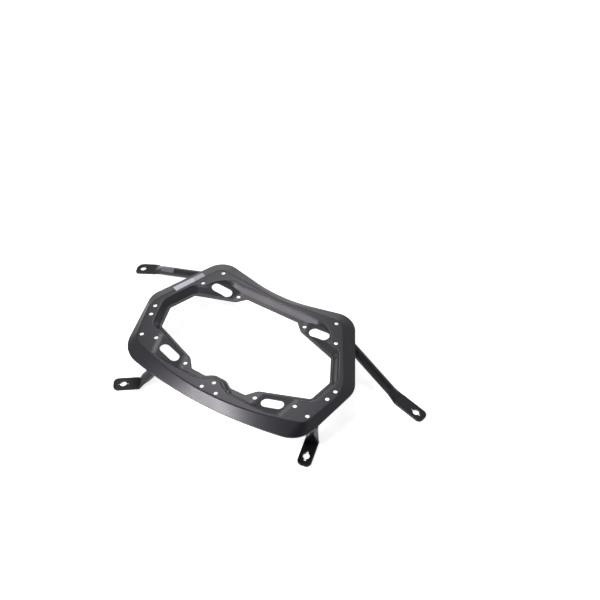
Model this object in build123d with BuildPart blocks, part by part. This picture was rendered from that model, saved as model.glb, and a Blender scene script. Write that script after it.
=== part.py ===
from build123d import *
import os
from math import acos, atan, cos, radians, sin, sqrt, tan

os.makedirs("parts", exist_ok=True)

# Pressed plate: millimetres and degrees, the pads' top face is z = 0
sheet = 2.5
press_depth = 11.0
flange_drop = 7.7
flange_width = 18.0
crease_radius = 5.0
trim_land = 0.3
wall_angle = 58.0
top_round = 4.5
foot_round = 3.0
lip_width = 4.3

# Rim of the plate, right half, corners before rounding
notch_y = 105.0
upper_horn = (127.0, 132.4)
side_point = (189.8, 6.1)
lower_horn = (160.4, -107.6)
bow_y = -126.4
notch_radius = 250.0
upper_horn_radius = 36.0
side_radius = 33.0
lower_horn_radius = 46.0

# Crown inside the flange, right half, corners before rounding
crown_notch_y = 96.5
crown_upper = (116.1, 107.8)
crown_side = (178.5, -8.5)
crown_lower = (153.5, -82.4)
crown_bow_y = -111.2
crown_upper_radius = 16.0
crown_side_radius = 60.0
crown_lower_radius = 21.0

# Large opening, right half, corners before rounding
tongue_root = (48.2, 79.8)
tongue_tip = (61.7, 65.6)
upper_corner = (128.7, 44.0)
side_corner = (148.7, 1.9)
lower_corner = (137.8, -37.2)
lower_tip = (61.1, -64.8)
lower_root = (48.6, -80.1)
tab_root = (23.0, -81.0)
tab_tip = (10.7, -72.8)
opening_radius = 7.0
root_radius = 4.0
tip_radius = 15.0

# Ramps and the slots in them
ramp_length = 47.0
ramp_lead = 24.5
ramp_heading = 17.0
ramp_reach = 70.0
ramp_round = 40.0
sunk_inner_y = 25.0
channel_corner = (113.0, 85.9)
channel_radius = 40.0
lower_channel_x = 25.0
lower_channel = (88.0, -88.6)
lower_channel_radius = 100.0
lower_channel_end = (118.0, -81.5)
slot_length = 36.0
slot_width = 16.7
upper_slot = (92.6, 72.0, -5.1)
lower_slot = (93.3, -75.4, 11.7)

# Bolt holes, right half
bolt_hole = 6.5
pad_hole = (63.25, 76.8)
ring_holes = [
    (108.3, 100.8),
    (125.7, 65.4),
    (166.1, -13.7),
    (161.5, -31.0),
    (150.0, -70.8),
    (125.8, -65.3),
    (12.5, -104.3),
]
tab_hole_y = -90.2

# Arms: round tube with a flattened, keyed end
tube_od = 16.0
tube_wall = 2.0
foot_z = -48.5
foot_width = 22.0
foot_thick = 4.4
foot_edge = 1.2
neck_length = 20.0
tip_reach = 16.0
toe_radius = 8.0
key_hole = 10.5
key_length = 17.0
key_width = 3.4

# Arms: bend in plan, top end of the tube, foot heading in degrees, hole from bend
long_left_bend = (-252.0, 89.0)
long_left_top = (-116.0, 91.0, 3.6)
long_left_heading = 206.8
long_left_hole = 22.8
long_left_reach = 12.0
long_left_toe = (13.0, 4.0)
long_right_bend = (244.0, 58.0)
long_right_top = (121.0, 90.0, 3.6)
long_right_heading = -14.9
long_right_hole = 35.2
short_left_bend = (-128.0, -121.0)
short_left_top = (-81.3, -89.9, 20.0)
short_left_heading = 213.7
short_left_hole = 25.2
short_right_bend = (161.0, -74.0)
short_right_top = (161.6, -73.6, 20.0)
short_right_heading = -79.5
short_right_hole = 27.5
short_right_neck = 36.0

# Derived levels
rim_z = press_depth - flange_drop
lean = atan(flange_drop / flange_width)
rim_floor = rim_z - sheet / cos(lean) + trim_land
draft = 90.0 - wall_angle


def near(sketch, *points):
    """The corners of a sketch that lie closest to the given points, on both halves."""
    found = ShapeList()
    for x, y in points:
        found.append(sketch.vertices().sort_by_distance((x, y, 0))[0])
        if x:
            found.append(sketch.vertices().sort_by_distance((-x, y, 0))[0])
    return found


def both_halves(corners):
    """A right-hand run of corners followed by its mirror image, walked back."""
    return corners + [(-x, y) for x, y in reversed(corners)]


def ring_face(notch, upper, side, lower, bow, radii):
    """A mirrored outline: straight sides between rounded corners, and a bowed front."""
    with BuildSketch() as face:
        with BuildLine():
            right = [lower, side, upper]
            left = [(-x, y) for x, y in reversed(right)]
            Polyline(right + [(0, notch)] + left)
            ThreePointArc(left[-1], (0, bow), lower)
        make_face()
        for corner, radius in zip((upper, side, lower, (0, notch)), radii):
            fillet(near(face, corner), radius)
    return face.sketch


# Rim and crown of the plate
rim_radii = (upper_horn_radius, side_radius, lower_horn_radius, notch_radius)
rim = ring_face(notch_y, upper_horn, side_point, lower_horn, bow_y, rim_radii)
crown_radii = (crown_upper_radius, crown_side_radius, crown_lower_radius, notch_radius)
crown = ring_face(crown_notch_y, crown_upper, crown_side, crown_lower, crown_bow_y, crown_radii)

# Large opening
with BuildSketch() as opening:
    right = [tongue_root, tongue_tip, upper_corner, side_corner, lower_corner]
    right += [lower_tip, lower_root, tab_root, tab_tip]
    with BuildLine():
        Polyline(both_halves(right), close=True)
    make_face()
    fillet(near(opening, upper_corner, side_corner, lower_corner, tab_root), opening_radius)
    fillet(near(opening, tongue_root, lower_root), root_radius)
    fillet(near(opening, tongue_tip, lower_tip, tab_tip), tip_radius)


# Sunk areas, corners before rounding
upper_sunk = both_halves([channel_corner, (channel_corner[0], sunk_inner_y)])
lower_sunk = [
    (lower_channel_x, -sunk_inner_y),
    (lower_channel_x, lower_channel[1]),
    lower_channel,
    lower_channel_end,
    (lower_channel_end[0], -sunk_inner_y),
]
with BuildSketch() as sunk:
    with BuildLine():
        Polyline(upper_sunk, close=True)
    make_face()
    with BuildLine():
        Polyline(lower_sunk, close=True)
    make_face()
    with BuildLine():
        Polyline([(-x, y) for x, y in lower_sunk], close=True)
    make_face()
    fillet(near(sunk, channel_corner), channel_radius)
    fillet(near(sunk, lower_channel), lower_channel_radius)
    fillet(near(sunk, upper_sunk[1], *lower_sunk[:2], *lower_sunk[3:]), opening_radius)


def blank(inset, base):
    """The plate before its middle is pressed: a flat crown inside a sloped flange."""
    edge_z = rim_z - inset / cos(lean)
    with BuildPart() as form:
        with BuildSketch(Plane.XY.offset(edge_z)):
            add(rim)
        with BuildSketch(Plane.XY.offset(press_depth - inset)):
            add(crown)
            if inset:
                offset(amount=-inset * tan(lean / 2))
        loft(ruled=True)
        crease = form.faces().sort_by(Axis.Z)[-1].outer_wire().edges()
        fillet(crease, crease_radius - inset)
        with BuildSketch(Plane.XY.offset(base)):
            add(rim)
            if inset:
                offset(amount=inset)
        extrude(amount=(rim_floor if inset else rim_z) - base)
    return form.part


def pressed(inset, base, sketch, spread, foot):
    """A block, level with the crown, with tapered hollows from a sketch, their brink and foot rounded."""
    with BuildPart() as form:
        with BuildSketch(Plane.XY.offset(base)):
            Rectangle(2 * side_point[0] + flange_width, 2 * upper_horn[1] + flange_width)
        extrude(amount=press_depth - inset - base)
        with BuildSketch(Plane.XY.offset(-inset)):
            add(sketch)
            offset(amount=spread + inset * tan(radians(wall_angle / 2)))
        extrude(amount=press_depth, taper=-draft, mode=Mode.SUBTRACT)
        brink = form.faces().sort_by(Axis.Z)[-1].inner_wires().edges()
        fillet(brink, top_round - inset)
        if foot:
            flats = form.faces().filter_by(Plane.XY).filter_by_position(Axis.Z, -inset, -inset)
            fillet(flats[0].outer_wire().edges(), foot + inset)
    return form.part


def ramped(inset, base):
    """The four solids below the ramps, each rising through its slot to a corner of the crown."""
    rise = press_depth / ramp_length
    foot = inset * (sqrt(1 + rise * rise) - 1) / rise - ramp_lead
    bends = [(foot, -inset), (foot + ramp_length, press_depth - inset)]
    with BuildPart() as form:
        for (x, y, _), turn in ((upper_slot, radians(ramp_heading)), (lower_slot, radians(-ramp_heading))):
            for side in (1, -1):
                along = Vector(side * cos(turn), sin(turn), 0)
                with BuildSketch(Plane((side * x, y, 0), along, along.cross(Vector(0, 0, 1)))) as profile:
                    with BuildLine():
                        Polyline(
                            (foot - press_depth, base),
                            (foot - press_depth, -inset),
                            *bends,
                            (ramp_reach, press_depth - inset),
                            (ramp_reach, base),
                            close=True,
                        )
                    make_face()
                    for bend, radius in zip(bends, (ramp_round + inset, ramp_round - inset)):
                        fillet(profile.vertices().sort_by_distance((*bend, 0))[0], radius)
                extrude(amount=ramp_reach / 2, both=True)
    return form.part


def under_face(inset, base):
    """Everything under the sheet: its top face for no inset, its lower face for one sheet."""
    with BuildPart() as form:
        add(pressed(inset, base - press_depth, sunk.sketch, 0, 0))
        add(ramped(inset, base))
        rim_of_opening = pressed(inset, base - 2 * press_depth, opening.sketch, lip_width, foot_round)
        add(rim_of_opening, mode=Mode.INTERSECT)
        add(blank(inset, base), mode=Mode.INTERSECT)
    return form.part


top_form = under_face(0, -2 * press_depth)
under_form = under_face(sheet, -3 * press_depth)

# Face plate: one sheet pressed between the two forms, then cut
with BuildPart() as face_plate:
    add(top_form)
    add(under_form, mode=Mode.SUBTRACT)
    with BuildSketch(Plane.XY.offset(-press_depth)):
        add(opening.sketch)
        for x, y, turn in (upper_slot, lower_slot):
            with Locations(Location((x, y), turn), Location((-x, y), -turn)):
                SlotOverall(slot_length, slot_width)
        for x, y in ring_holes + [pad_hole, (pad_hole[0], -pad_hole[1])]:
            with Locations((x, y), (-x, y)):
                Circle(bolt_hole / 2)
        with Locations((0, tab_hole_y)):
            Circle(bolt_hole / 2)
    extrude(amount=3 * press_depth, mode=Mode.SUBTRACT)
face_plate.part.label = "face_plate"
export_step(face_plate.part, "parts/face_plate.step")


# What the plate takes up, and the room above it, for trimming the tube ends
with BuildPart() as trim:
    with BuildSketch(Plane.XY.offset(-press_depth)):
        add(rim)
        offset(amount=sheet)
    extrude(amount=5 * press_depth)
    add(under_form, mode=Mode.SUBTRACT)


def flat_foot(plane, heel, toe, corners):
    """A flat strip with softened edges, its two corners at the toe rounded."""
    half = foot_width / 2
    with BuildPart() as form:
        with BuildSketch(plane) as strip:
            with BuildLine():
                Polyline((-heel, -half), (toe, -half), (toe, half), (-heel, half), close=True)
            make_face()
            for side, radius in zip((-half, half), corners):
                fillet(strip.vertices().sort_by_distance((toe, side, 0))[0], radius)
        extrude(amount=foot_thick)
        rims = form.edges().filter_by(Plane.XY).group_by(Axis.Z)
        fillet(rims[0] + rims[-1], foot_edge)
    return form.part


def arm(bend, top, heading, hole_at, reach=tip_reach, corners=(toe_radius, toe_radius), neck=neck_length):
    """A straight tube from its top end down to a bend, then a flat keyed foot along heading."""
    knee = Vector(bend[0], bend[1], foot_z)
    rise = Vector(*top) - knee
    up = rise.normalized()
    out = Vector(cos(radians(heading)), sin(radians(heading)), 0)
    across = Vector(0, 0, 1).cross(out)
    fold = (up - out).normalized()
    collar = knee + up * neck
    collar_plane = Plane(collar, x_dir=across - up * across.dot(up), z_dir=up)
    fold_plane = Plane(knee, x_dir=across - fold * across.dot(fold), z_dir=fold)
    foot_plane = Plane(knee - Vector(0, 0, foot_thick / 2), x_dir=out, z_dir=(0, 0, 1))
    half_fold = acos(-fold.dot(out))
    edge = foot_thick / cos(half_fold) / 2
    flat = foot_width / 2 - edge
    heel = foot_thick / 2 * tan(half_fold)
    foot = flat_foot(foot_plane, heel, hole_at + reach, corners)
    with BuildPart() as form:
        with BuildSketch(collar_plane):
            with BuildLine():
                for start, turn in ((-60, 120), (60, 60), (120, 120), (240, 60)):
                    CenterArc((0, 0), tube_od / 2, start, turn)
            make_face()
        with BuildSketch(fold_plane):
            with BuildLine():
                CenterArc((flat, 0), edge, -90, 180)
                Line((flat, edge), (-flat, edge))
                CenterArc((-flat, 0), edge, 90, 180)
                Line((-flat, -edge), (flat, -edge))
            make_face()
        loft()
        with BuildSketch(collar_plane):
            Circle(tube_od / 2)
            Circle(tube_od / 2 - tube_wall, mode=Mode.SUBTRACT)
        extrude(amount=rise.length - neck)
        add(foot)
        with BuildSketch(foot_plane):
            with Locations((hole_at, 0)):
                Circle(key_hole / 2)
                Rectangle(key_length, key_width)
        extrude(amount=foot_thick, mode=Mode.SUBTRACT)
        split(bisect_by=foot_plane, keep=Keep.TOP)
        add(trim.part, mode=Mode.SUBTRACT)
    return form.part


# Long arm, left
with BuildPart() as long_arm_left:
    add(arm(long_left_bend, long_left_top, long_left_heading, long_left_hole, long_left_reach, long_left_toe))
long_arm_left.part.label = "long_arm_left"
export_step(long_arm_left.part, "parts/long_arm_left.step")

# Long arm, right
with BuildPart() as long_arm_right:
    add(arm(long_right_bend, long_right_top, long_right_heading, long_right_hole))
long_arm_right.part.label = "long_arm_right"
export_step(long_arm_right.part, "parts/long_arm_right.step")

# Short arm, left
with BuildPart() as short_arm_left:
    add(arm(short_left_bend, short_left_top, short_left_heading, short_left_hole))
short_arm_left.part.label = "short_arm_left"
export_step(short_arm_left.part, "parts/short_arm_left.step")

# Short arm, right
with BuildPart() as short_arm_right:
    add(arm(short_right_bend, short_right_top, short_right_heading, short_right_hole, neck=short_right_neck))
short_arm_right.part.label = "short_arm_right"
export_step(short_arm_right.part, "parts/short_arm_right.step")
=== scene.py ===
import bmesh
import bpy
import numpy as np
from mathutils import Matrix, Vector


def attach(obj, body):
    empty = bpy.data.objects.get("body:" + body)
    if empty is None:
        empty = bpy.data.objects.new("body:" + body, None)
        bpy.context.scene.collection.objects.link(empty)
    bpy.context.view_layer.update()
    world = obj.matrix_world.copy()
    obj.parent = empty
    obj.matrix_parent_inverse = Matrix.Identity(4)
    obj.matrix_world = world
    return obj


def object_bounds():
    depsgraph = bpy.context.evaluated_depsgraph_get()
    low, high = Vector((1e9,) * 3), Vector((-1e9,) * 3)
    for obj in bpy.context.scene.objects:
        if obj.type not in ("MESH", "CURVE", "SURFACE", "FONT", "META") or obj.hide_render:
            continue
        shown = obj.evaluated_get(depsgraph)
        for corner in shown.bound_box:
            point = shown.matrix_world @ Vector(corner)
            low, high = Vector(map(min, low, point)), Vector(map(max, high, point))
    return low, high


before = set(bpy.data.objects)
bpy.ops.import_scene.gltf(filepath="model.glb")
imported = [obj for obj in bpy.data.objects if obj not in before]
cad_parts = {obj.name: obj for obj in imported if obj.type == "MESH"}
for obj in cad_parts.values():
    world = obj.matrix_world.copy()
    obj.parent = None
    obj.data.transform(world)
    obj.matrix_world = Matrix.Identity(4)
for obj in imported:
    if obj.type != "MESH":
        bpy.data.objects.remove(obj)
cad_low, cad_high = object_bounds()

# Face plate
# One steel sheet, pressed to a ring with a sloped flange, a sunk lip and four ramps, then pierced.
# It is sprayed with satin black powder, which melts to a skin with a very fine orange peel.
powder_hue = (0.97, 0.93, 1.0)
bump_strength = 0.35
noise_low, noise_high = 0.3, 0.7
waves_per_metre = 14.0
blotches_per_metre = 56.0
# The peel lies on a coarser swell, with a share of its grains to the metre and a share of its height
swell_rate = 0.31
swell_share = 0.35


def link(tree, start, end):
    """Joins an output socket to an input socket."""
    tree.links.new(start, end)


def add_node(tree, kind, x, y, **settings):
    """A shader node at a place in its tree, with its plain settings."""
    made = tree.nodes.new(kind)
    made.location = (x, y)
    for name, value in settings.items():
        setattr(made, name, value)
    return made


def add_noise(tree, x, y, place, detail):
    """A noise node that reads a place; its scale is set or linked by what calls this."""
    noise = add_node(tree, "ShaderNodeTexNoise", x, y)
    noise.inputs["Detail"].default_value = detail
    link(tree, place, noise.inputs["Vector"])
    return noise


def surface_group(name):
    """A new group that takes the grains to a metre and gives the three values that every finish reads.

    It comes back with its entry, the piece's own coordinates and its exit, all still to be linked.
    """
    group = bpy.data.node_groups.new(name, "ShaderNodeTree")
    group.interface.new_socket("Grains per Metre", in_out="INPUT", socket_type="NodeSocketFloat")
    for output in ("Height", "Gloss", "Shade"):
        group.interface.new_socket(output, in_out="OUTPUT", socket_type="NodeSocketFloat")
    enter = add_node(group, "NodeGroupInput", -900, 0)
    where = add_node(group, "ShaderNodeTexCoord", -900, -300)
    leave = add_node(group, "NodeGroupOutput", 500, 0)
    return group, enter, where, leave


def powder_skin_group():
    """Melted powder: small round bumps about a millimetre apart, over slow waves in gloss and shade.

    Height is fine noise plus a third of a coarser one; Gloss and Shade are slow noise from 0 to 1.
    """
    group, enter, where, leave = surface_group("powder_skin")
    peel = add_noise(group, -500, 300, where.outputs["Object"], detail=2.0)
    swell = add_noise(group, -500, 0, where.outputs["Object"], detail=1.0)
    waves = add_noise(group, -500, -300, where.outputs["Object"], detail=3.0)
    waves.inputs["Scale"].default_value = waves_per_metre
    blotch = add_noise(group, -500, -600, where.outputs["Object"], detail=4.0)
    blotch.inputs["Scale"].default_value = blotches_per_metre
    coarse = add_node(group, "ShaderNodeMath", -700, 100, operation="MULTIPLY")
    coarse.inputs[1].default_value = swell_rate
    faint = add_node(group, "ShaderNodeMath", -250, 0, operation="MULTIPLY")
    faint.inputs[1].default_value = swell_share
    both = add_node(group, "ShaderNodeMath", 0, 200, operation="ADD")
    link(group, enter.outputs["Grains per Metre"], peel.inputs["Scale"])
    link(group, enter.outputs["Grains per Metre"], coarse.inputs[0])
    link(group, coarse.outputs[0], swell.inputs["Scale"])
    link(group, swell.outputs["Fac"], faint.inputs[0])
    link(group, peel.outputs["Fac"], both.inputs[0])
    link(group, faint.outputs[0], both.inputs[1])
    link(group, both.outputs[0], leave.inputs["Height"])
    link(group, waves.outputs["Fac"], leave.inputs["Gloss"])
    link(group, blotch.outputs["Fac"], leave.inputs["Shade"])
    return group


def finish(name, surface, dark, light, smooth, rough, grains, grain_height, shine=0.5, hue=(1, 1, 1)):
    """A finish from a surface group: its Shade mixes two colours, and its Height is a bump.

    Its Gloss, over the range that noise mostly spans, goes from the smooth to the rough roughness. Shine and
    hue are the strength and the tint of what the finish mirrors.
    """
    coat = bpy.data.materials.new(name)
    coat.use_nodes = True
    tree = coat.node_tree
    tree.nodes.clear()
    out = add_node(tree, "ShaderNodeOutputMaterial", 600, 0)
    shader = add_node(tree, "ShaderNodeBsdfPrincipled", 300, 0)
    shader.inputs["Specular IOR Level"].default_value = shine
    shader.inputs["Specular Tint"].default_value = (*hue, 1.0)
    skin = add_node(tree, "ShaderNodeGroup", -500, 0, node_tree=surface)
    skin.inputs["Grains per Metre"].default_value = grains
    tint = add_node(tree, "ShaderNodeMix", 0, 200, data_type="RGBA")
    tint.inputs["A"].default_value = (*dark, 1.0)
    tint.inputs["B"].default_value = (*light, 1.0)
    gloss = add_node(tree, "ShaderNodeMapRange", 0, -100)
    gloss.inputs["From Min"].default_value = noise_low
    gloss.inputs["From Max"].default_value = noise_high
    gloss.inputs["To Min"].default_value = smooth
    gloss.inputs["To Max"].default_value = rough
    bump = add_node(tree, "ShaderNodeBump", 0, -400)
    bump.inputs["Strength"].default_value = bump_strength
    bump.inputs["Distance"].default_value = grain_height
    link(tree, skin.outputs["Shade"], tint.inputs["Factor"])
    link(tree, skin.outputs["Gloss"], gloss.inputs["Value"])
    link(tree, skin.outputs["Height"], bump.inputs["Height"])
    link(tree, tint.outputs["Result"], shader.inputs["Base Color"])
    link(tree, gloss.outputs["Result"], shader.inputs["Roughness"])
    link(tree, bump.outputs["Normal"], shader.inputs["Normal"])
    link(tree, shader.outputs["BSDF"], out.inputs["Surface"])
    return coat


def dress(node, material):
    """Gives every slot of a solid the same finish."""
    for slot in node.material_slots:
        slot.material = material


powder_skin = powder_skin_group()
plate_black = finish(
    "plate_black", powder_skin, dark=(0.0062, 0.0057, 0.0080), light=(0.0088, 0.0081, 0.0112),
    smooth=0.26, rough=0.32, grains=700.0, grain_height=0.000018, shine=0.34, hue=powder_hue)
dress(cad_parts["face_plate"], plate_black)

# Arms
# Round steel tube, pressed flat and pierced at its lower end, bent and welded under the ring.
# They carry the same powder as the plate, a shade darker, finer in grain and a little smoother.
arm_black = finish(
    "arm_black", powder_skin, dark=(0.0052, 0.0049, 0.0064), light=(0.0076, 0.0071, 0.0092),
    smooth=0.24, rough=0.32, grains=900.0, grain_height=0.000014, shine=0.26, hue=powder_hue)
for arm in ("long_arm_left", "long_arm_right", "short_arm_left", "short_arm_right"):
    dress(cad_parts[arm], arm_black)

# Weld beads
# Steel run in by hand where each tube lies against the ring, in overlapping drops, under the same powder.
# Each bead follows the edge of its tube's own cope, on the side away from the tube.
tube_radius = 0.008
bend_level = -0.0485
# A tube whose direction rises by more than this counts as upright
upright_tube = 0.995
# Corners on a cope's edge lie this near the tube's skin, past this reach and this far short of a bare end
skin_band = 0.00003
cope_start = 0.042
end_gap = 0.0003
# A cope that leaves out more than this angle is open, and its bead tapers off at both ends
open_angle = 1.2
end_taper = 0.002
drop_length = 0.0021
drop_swell = 0.1
# A bead thins out from its full level down to the rim's, where a share of its radius is left
full_level = 0.0052
rim_level = 0.0012
rim_share = 0.3
centre_share = 0.4
turn_points, path_points, profile_points = 400, 420, 17
seam_gap = 0.000002
whole_turn = 2 * np.pi
up_axis = np.array((0.0, 0.0, 1.0))
back_axis = np.array((0.0, 1.0, 0.0))


def unit(vectors):
    """The same directions, each with a length of one."""
    return vectors / np.linalg.norm(vectors, axis=-1, keepdims=True)


def sheet_piece(name, points, material):
    """A smooth mesh from a grid of points, whose first parameter counts rows and second columns."""
    rows, columns = points.shape[:2]
    index = np.arange(rows * columns).reshape(rows, columns)
    faces = np.stack((index[:-1, :-1], index[1:, :-1], index[1:, 1:], index[:-1, 1:]), axis=-1)
    mesh = bpy.data.meshes.new(name)
    mesh.from_pydata(points.reshape(-1, 3).tolist(), [], faces.reshape(-1, 4).tolist())
    mesh.polygons.foreach_set("use_smooth", np.ones(len(mesh.polygons), bool))
    mesh.materials.append(material)
    piece = bpy.data.objects.new(name, mesh)
    bpy.context.scene.collection.objects.link(piece)
    return piece


def close_seams(piece):
    """Merges the points that meet at a seam or a pole, then turns every face outwards."""
    shell = bmesh.new()
    shell.from_mesh(piece.data)
    bmesh.ops.remove_doubles(shell, verts=shell.verts, dist=seam_gap)
    bmesh.ops.recalc_face_normals(shell, faces=shell.faces)
    shell.to_mesh(piece.data)
    shell.free()


def tube_axes(bend, top):
    """Three directions of a tube: along it, as near upright as lies across it, and level across it.

    On a tube that itself stands upright, the second one points back instead.
    """
    axis = unit(np.subtract(top, bend))
    lead = back_axis if axis[2] > upright_tube else up_axis
    upright = unit(lead - axis * (axis @ lead))
    return axis, upright, np.cross(axis, upright)


def cope_edge(node, bend, top):
    """The edge where a tube is cut to the ring: its angles round the tube, and its reach along the tube.

    The solid's corners on the tube's outer skin, well past the bend and short of the tube's bare end, all
    lie on that edge. They are sorted by their angle from the tube's upright direction.
    """
    axis, upright, level = tube_axes(bend, top)
    corners = np.empty(len(node.data.vertices) * 3)
    node.data.vertices.foreach_get("co", corners)
    away = corners.reshape(-1, 3) - bend
    reach = away @ axis
    spoke = away - reach[:, None] * axis
    on_skin = np.abs(np.linalg.norm(spoke, axis=1) - tube_radius) < skin_band
    bare_end = np.linalg.norm(np.subtract(top, bend)) - end_gap
    on_edge = on_skin & (reach > cope_start) & (reach < bare_end)
    angle = np.arctan2(spoke[on_edge] @ level, spoke[on_edge] @ upright)
    order = np.argsort(angle)
    return angle[order], reach[on_edge][order]


def bead(name, node, bend, top, bead_radius, material):
    """A round profile carried along a cope's edge, its radius rising and falling once in each drop.

    The radius also shrinks with the path's height, down to the rim, where the sheet's edge takes little
    metal, and to nothing at the ends of an open bead. The profile's centre lies outwards and down from the
    edge by a share of the radius.
    """
    angle, reach = cope_edge(node, bend, top)
    closed = np.diff(angle, append=angle[0] + whole_turn).max() < open_angle
    if closed:
        angle = np.append(angle, angle[0] + whole_turn)
        reach = np.append(reach, reach[0])
    turn = np.linspace(angle[0], angle[-1], turn_points)
    along = np.interp(turn, angle, reach)
    axis, upright, level = tube_axes(bend, top)
    spokes = np.cos(turn)[:, None] * upright + np.sin(turn)[:, None] * level
    edge = np.array(bend) + along[:, None] * axis + tube_radius * spokes
    run = np.append(0.0, np.cumsum(np.linalg.norm(np.diff(edge, axis=0), axis=1)))
    steps = np.linspace(0.0, run[-1], path_points)
    path = np.stack([np.interp(steps, run, places) for places in edge.T], axis=1)
    ahead = np.gradient(path, axis=0)
    if closed:
        ahead[0] = ahead[-1] = path[1] - path[-2]
    ahead = unit(ahead)
    side = unit(np.cross(ahead, up_axis))
    side *= np.sign(np.sum(side * (path - path.mean(axis=0)), axis=1))[:, None]
    up = np.cross(side, ahead)
    drop_count = np.round(run[-1] / drop_length)
    drops = 1.0 - drop_swell + drop_swell * np.abs(np.sin(np.pi * drop_count * steps / run[-1]))
    ends = 1.0 if closed else np.sqrt(np.clip(np.minimum(steps, run[-1] - steps) / end_taper, 0.0, 1.0))
    slim = bead_radius * np.clip((path[:, 2] - rim_level) / (full_level - rim_level), rim_share, 1.0)
    radius = slim * drops * ends
    centre = path + centre_share * slim[:, None] * (side - up_axis)
    round_it = np.linspace(0.0, whole_turn, profile_points)
    ring = np.cos(round_it)[None, :, None] * side[:, None] + np.sin(round_it)[None, :, None] * up[:, None]
    weld = sheet_piece(name, centre[:, None] + radius[:, None, None] * ring, material)
    close_seams(weld)
    return weld


weld_black = finish(
    "weld_black", powder_skin, dark=(0.0060, 0.0056, 0.0072), light=(0.0090, 0.0084, 0.0108),
    smooth=0.26, rough=0.36, grains=1100.0, grain_height=0.00003, shine=0.30, hue=powder_hue)
# Each tube's bend, its upper end and the radius of its bead
tubes = {
    "long_arm_left": ((-0.252, 0.089, bend_level), (-0.116, 0.091, 0.0036), 0.0015),
    "long_arm_right": ((0.244, 0.058, bend_level), (0.121, 0.090, 0.0036), 0.0015),
    "short_arm_left": ((-0.128, -0.121, bend_level), (-0.0813, -0.0899, 0.020), 0.0015),
    "short_arm_right": ((0.161, -0.074, bend_level), (0.1616, -0.0736, 0.020), 0.0008),
}
for arm, (bend, top, bead_radius) in tubes.items():
    weld = bead(arm.replace("arm", "weld"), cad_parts[arm], bend, top, bead_radius, weld_black)
    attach(weld, "root")

# Label
# A pale paper label, rubbed down over the flange's crease on the left, with a blank face.
# The paper is matt, and its pressed fibre breaks up the light a little.
crown_level = cad_high.z
crease_start = np.array((-0.1161, 0.1078))
crease_run = np.array((-0.4728, -0.8812))
crease_out = np.array((crease_run[1], -crease_run[0]))
crease_radius = 0.005
# Places along the crease, from its start
paper_start, paper_end = 0.0505, 0.0879
# The flange's drop, its width at the paper's end, and how much wider it grows per metre back from there
flange_drop = 0.0077
flange_width = 0.01793
flange_spread = 0.0334
label_width = 0.0132
label_corner = 0.0012
# How far outside the crease the label's middle lies at the paper's end, and how much more per metre back
label_middle = 0.0027
label_slant = 0.07
crease_rows, crease_columns = 121, 61
fibre_turn = 1.08
fibre_stretch = 0.3
clouds_per_metre = 160.0
rubs_per_metre = 70.0


def paper_fibre_group():
    """Pressed paper: noise drawn out one way for the fibre, over slow clouds of shade and gloss.

    Height is the drawn noise; Gloss and Shade are slow noise from 0 to 1.
    """
    group, enter, where, leave = surface_group("paper_fibre")
    drawn = add_node(group, "ShaderNodeMapping", -700, 0)
    drawn.inputs["Rotation"].default_value = (0.0, 0.0, fibre_turn)
    drawn.inputs["Scale"].default_value = (fibre_stretch, 1.0, 1.0)
    fibre = add_noise(group, -400, 200, drawn.outputs["Vector"], detail=3.0)
    cloud = add_noise(group, -400, -100, where.outputs["Object"], detail=3.0)
    cloud.inputs["Scale"].default_value = clouds_per_metre
    rub = add_noise(group, -400, -400, where.outputs["Object"], detail=2.0)
    rub.inputs["Scale"].default_value = rubs_per_metre
    link(group, where.outputs["Object"], drawn.inputs["Vector"])
    link(group, enter.outputs["Grains per Metre"], fibre.inputs["Scale"])
    link(group, fibre.outputs["Fac"], leave.inputs["Height"])
    link(group, rub.outputs["Fac"], leave.inputs["Gloss"])
    link(group, cloud.outputs["Fac"], leave.inputs["Shade"])
    return group


def thicken(piece, thickness):
    """Gives a film its thickness, on the side towards what it is stuck to."""
    shell = piece.modifiers.new("film", "SOLIDIFY")
    shell.thickness = thickness
    shell.offset = -1.0


def film_grid(start, end, corner, rows, columns):
    """A film's grid: each point's place along it, its share across it, and what a corner takes off there.

    Within a corner's radius of both ends, the film's half width shrinks as a circle does.
    """
    along, across = np.meshgrid(np.linspace(-1.0, 1.0, rows), np.linspace(-1.0, 1.0, columns), indexing="ij")
    half = (end - start) / 2
    in_corner = np.clip(np.abs(along) * half - (half - corner), 0.0, corner) / corner
    return (start + end) / 2 + along * half, across, corner * (1.0 - np.sqrt(1.0 - in_corner ** 2))


def crease_film(name, start, end, lift, material):
    """A film over the crease: the first parameter runs along it, the second across it.

    Inside the crease the film is level, outside it falls with the flange, and between them it follows the
    crease's round. The flange grows wider, and the film's middle lies further out, away from the paper's end.
    """
    run, across, inset = film_grid(start, end, label_corner, crease_rows, crease_columns)
    from_end = paper_end - run
    out = label_middle + label_slant * from_end - across * (label_width / 2 - inset)
    fall = np.arctan(flange_drop / (flange_width + flange_spread * from_end))
    bent = np.clip(out + crease_radius * np.tan(fall / 2), 0.0, None)
    tilt = np.arcsin(np.clip(bent / crease_radius, 0.0, np.sin(fall)))
    beyond = np.clip(bent - crease_radius * np.sin(fall), 0.0, None)
    level = crown_level - crease_radius * (1.0 - np.cos(tilt)) - beyond * np.tan(fall)
    place = crease_start + run[..., None] * crease_run + (out + lift * np.sin(tilt))[..., None] * crease_out
    return sheet_piece(name, np.dstack((place, level + lift * np.cos(tilt))), material)


paper_fibre = paper_fibre_group()
label_paper = finish(
    "label_paper", paper_fibre, dark=(0.47, 0.455, 0.515), light=(0.51, 0.495, 0.56),
    smooth=0.48, rough=0.62, grains=2500.0, grain_height=0.00001)
label = crease_film("label", paper_start, paper_end, lift=0.00012, material=label_paper)
thicken(label, thickness=0.0001)
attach(label, "root")

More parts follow.
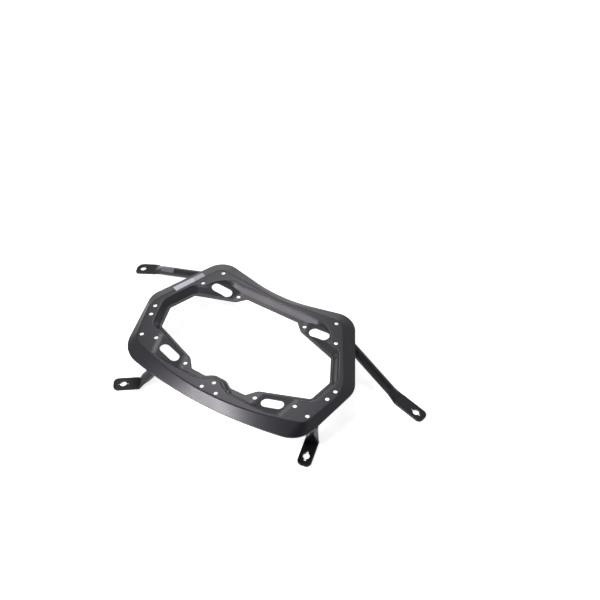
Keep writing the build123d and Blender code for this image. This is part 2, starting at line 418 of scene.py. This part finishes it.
# Label tail
# The clear film end of the same label, stuck down over the crease next to the paper, towards the back.
# It is coloured a mid grey, and it is glossier than the paper.
tail_start = 0.0312
label_film = finish(
    "label_film", paper_fibre, dark=(0.265, 0.258, 0.294), light=(0.305, 0.297, 0.338),
    smooth=0.30, rough=0.42, grains=1800.0, grain_height=0.000006)
tail = crease_film("label_tail", tail_start, paper_start, lift=0.0001, material=label_film)
thicken(tail, thickness=0.00008)
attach(tail, "root")

# Tube label
# A small grey paper label, blank, next to the flattened end of the long left tube.
# It is stuck round the upper side of the tube.
tube_rows, tube_columns = 81, 49


def tube_film(name, bend, top, start, end, middle, spread, corner, lift, material):
    """A film round a tube: the first parameter runs along the tube, the second turns round it.

    Its turn spreads both ways from the middle angle, less what the round corners take off.
    """
    axis, upright, level = tube_axes(bend, top)
    reach, across, inset = film_grid(start, end, corner, tube_rows, tube_columns)
    turn = middle + across * (spread - inset / tube_radius)
    spoke = np.cos(turn)[..., None] * upright + np.sin(turn)[..., None] * level
    points = np.array(bend) + reach[..., None] * axis + (tube_radius + lift) * spoke
    return sheet_piece(name, points, material)


tube_paper = finish(
    "tube_paper", paper_fibre, dark=(0.080, 0.077, 0.088), light=(0.100, 0.097, 0.110),
    smooth=0.34, rough=0.46, grains=2200.0, grain_height=0.000008)
left_bend, left_top, _ = tubes["long_arm_left"]
tube_label = tube_film(
    "tube_label", left_bend, left_top, start=0.0208, end=0.0515, middle=-0.1, spread=1.05,
    corner=0.001, lift=0.00012, material=tube_paper)
thicken(tube_label, thickness=0.0001)
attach(tube_label, "root")

# Floor, light and camera
# A white studio floor that fades into a white backdrop, under four soft lamps: two low ones in front
# and behind, and two smaller ones high up that draw the light bands along the flange and the crown.
# A patch of the ceiling is unlit, and the ring's right front corner, which mirrors it, stays dark.
floor_z = cad_low.z
floor_reach = 6.0
floor_white = (0.9, 0.9, 0.9, 1.0)
floor_glow = 0.74
room_level, backdrop_level = 0.3, 1.0
unlit_ceiling = (0.235, -0.165, 0.958)
unlit_edge, unlit_core = 0.93, 0.985
unlit_level = 0.05
eye_place = (0.3881, -0.5361, 0.9134)
eye_aim = (0.0294, 0.1218, 0.0)
eye_roll = np.radians(0.976)


def seen_directly(tree, x, y):
    """One for the rays that see, mirror or look through, and zero for those that light the object."""
    ray = add_node(tree, "ShaderNodeLightPath", x, y)
    direct = add_node(tree, "ShaderNodeMath", x + 125, y, operation="MAXIMUM")
    clear = add_node(tree, "ShaderNodeMath", x + 250, y, operation="MAXIMUM")
    link(tree, ray.outputs["Is Camera Ray"], direct.inputs[0])
    link(tree, ray.outputs["Is Glossy Ray"], direct.inputs[1])
    link(tree, direct.outputs[0], clear.inputs[0])
    link(tree, ray.outputs["Is Transmission Ray"], clear.inputs[1])
    return clear


def floor_finish():
    """Matt white paint that also glows a little where it is seen, so that it fades into the backdrop."""
    pale = bpy.data.materials.new("pale_floor")
    pale.use_nodes = True
    tree = pale.node_tree
    tree.nodes.clear()
    out = add_node(tree, "ShaderNodeOutputMaterial", 600, 0)
    matt = add_node(tree, "ShaderNodeBsdfDiffuse", 0, 100)
    matt.inputs["Color"].default_value = floor_white
    glow = add_node(tree, "ShaderNodeEmission", 0, -100)
    seen = seen_directly(tree, -500, -100)
    dimmed = add_node(tree, "ShaderNodeMath", -125, -100, operation="MULTIPLY")
    dimmed.inputs[1].default_value = floor_glow
    both = add_node(tree, "ShaderNodeAddShader", 300, 0)
    link(tree, seen.outputs[0], dimmed.inputs[0])
    link(tree, dimmed.outputs[0], glow.inputs["Strength"])
    link(tree, matt.outputs[0], both.inputs[0])
    link(tree, glow.outputs[0], both.inputs[1])
    link(tree, both.outputs[0], out.inputs["Surface"])
    return pale


def studio_world():
    """White where it is seen and dimmer where it lights the object, times a patch of unlit ceiling.

    The patch darkens from its edge to its core, by the cosine of the angle from its middle.
    """
    world = bpy.data.worlds.new("studio")
    world.use_nodes = True
    tree = world.node_tree
    tree.nodes.clear()
    out = add_node(tree, "ShaderNodeOutputWorld", 600, 0)
    sky = add_node(tree, "ShaderNodeBackground", 300, 0)
    sky.inputs["Color"].default_value = (1.0, 1.0, 1.0, 1.0)
    seen = seen_directly(tree, -500, 0)
    level = add_node(tree, "ShaderNodeMapRange", 0, 0)
    level.inputs["To Min"].default_value = room_level
    level.inputs["To Max"].default_value = backdrop_level
    where = add_node(tree, "ShaderNodeTexCoord", -500, -300)
    overhead = add_node(tree, "ShaderNodeVectorMath", -250, -300, operation="DOT_PRODUCT")
    overhead.inputs[1].default_value = unlit_ceiling
    unlit = add_node(tree, "ShaderNodeMapRange", 0, -300)
    unlit.inputs["From Min"].default_value = unlit_edge
    unlit.inputs["From Max"].default_value = unlit_core
    unlit.inputs["To Min"].default_value = 1.0
    unlit.inputs["To Max"].default_value = unlit_level
    shaded = add_node(tree, "ShaderNodeMath", 150, -100, operation="MULTIPLY")
    link(tree, seen.outputs[0], level.inputs["Value"])
    link(tree, where.outputs["Generated"], overhead.inputs[0])
    link(tree, overhead.outputs["Value"], unlit.inputs["Value"])
    link(tree, level.outputs["Result"], shaded.inputs[0])
    link(tree, unlit.outputs["Result"], shaded.inputs[1])
    link(tree, shaded.outputs[0], sky.inputs["Strength"])
    link(tree, sky.outputs[0], out.inputs["Surface"])
    return world


floor_sides = (-floor_reach, floor_reach)
floor_x, floor_y = np.meshgrid(floor_sides, floor_sides, indexing="ij")
floor = sheet_piece("floor", np.dstack((floor_x, floor_y, np.full_like(floor_x, floor_z))), floor_finish())
bpy.context.scene.world = studio_world()


def facing(place, aim, roll=0.0):
    """The matrix of a lamp or camera at a place that faces its aim, rolled about that line from level."""
    away = unit(np.subtract(place, aim))
    flat = unit(np.cross(up_axis, away))
    right = np.cos(roll) * flat + np.sin(roll) * np.cross(away, flat)
    stand = np.eye(4)
    stand[:3, 0] = right
    stand[:3, 1] = np.cross(away, right)
    stand[:3, 2] = away
    stand[:3, 3] = place
    return Matrix(stand.tolist())


def soft_lamp(name, place, aim, width, height, radiance):
    """A rectangular lamp that faces its aim; watts are radiance times pi times its area."""
    lamp = bpy.data.lights.new(name, "AREA")
    lamp.shape = "RECTANGLE"
    lamp.size = width
    lamp.size_y = height
    lamp.energy = radiance * np.pi * width * height
    holder = bpy.data.objects.new(name, lamp)
    holder.matrix_world = facing(place, aim)
    bpy.context.scene.collection.objects.link(holder)


soft_lamp("front_lamp", (-0.70, -1.95, 0.34), (0.0, 0.09, 0.0), width=0.62, height=0.6, radiance=14.0)
soft_lamp("flange_lamp", (-0.63, -1.00, 1.67), (0.02, -0.12, 0.0), width=0.36, height=0.36, radiance=60.0)
soft_lamp("crown_lamp", (-0.66, 0.89, 1.62), (0.0, -0.1, 0.0), width=0.46, height=0.56, radiance=9.5)
soft_lamp("back_lamp", (-1.30, 1.80, 0.50), (0.0, 0.0, 0.0), width=2.0, height=0.7, radiance=1.0)

eye = bpy.data.cameras.new("camera")
eye.sensor_width = 36.0
eye.lens = 42.47
camera = bpy.data.objects.new("camera", eye)
camera.matrix_world = facing(eye_place, eye_aim, eye_roll)
bpy.context.scene.collection.objects.link(camera)
bpy.context.scene.camera = camera
bpy.context.scene.view_settings.view_transform = "Standard"
